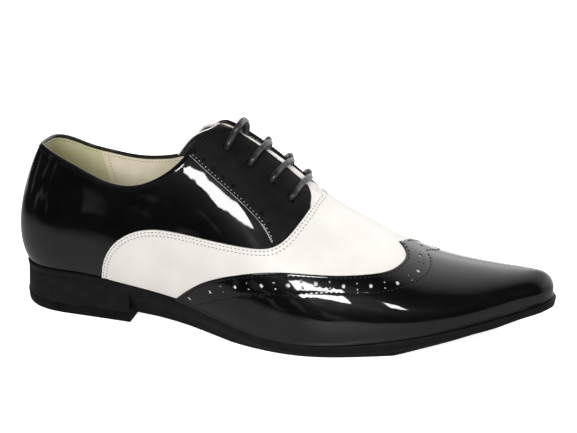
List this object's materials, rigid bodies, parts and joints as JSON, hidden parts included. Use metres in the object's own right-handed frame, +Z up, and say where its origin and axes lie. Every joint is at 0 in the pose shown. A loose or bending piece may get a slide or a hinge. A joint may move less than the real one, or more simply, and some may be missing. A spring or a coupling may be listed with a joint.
{
  "type": "dress shoe",
  "caption": "Right-foot two-tone wing-tip lace-up dress shoe with a long pointed toe, hollow upper, thin sole and low stacked heel.",
  "frame": {"origin": "middle of the shoe's box, on the floor that it stands on", "axes": "+X from heel to toe, +Y towards the inner side of the foot, +Z up"},
  "size_m": [0.312, 0.0924, 0.1135],
  "materials": {
    "sole": "satin black",
    "heel": "satin black",
    "lift": "matt black",
    "sock": "matt cream",
    "black_patent": "patent, high gloss",
    "white_leather": "smooth white, soft gloss",
    "black_matt": "smooth black, low gloss",
    "cord": "waxed black cord"
  },
  "bodies": {
    "root": {"outsole": "sole", "heel_block": "heel", "heel_lift": "lift", "insole": "sock", "upper": "black_patent", "wing_cap": "black_patent", "vamp": "white_leather", "tongue": "white_leather", "facing_lateral": "black_matt", "facing_medial": "black_matt", "lace_1": "cord", "lace_2": "cord", "lace_3": "cord", "lace_4": "cord"}
  },
  "joints": []
}
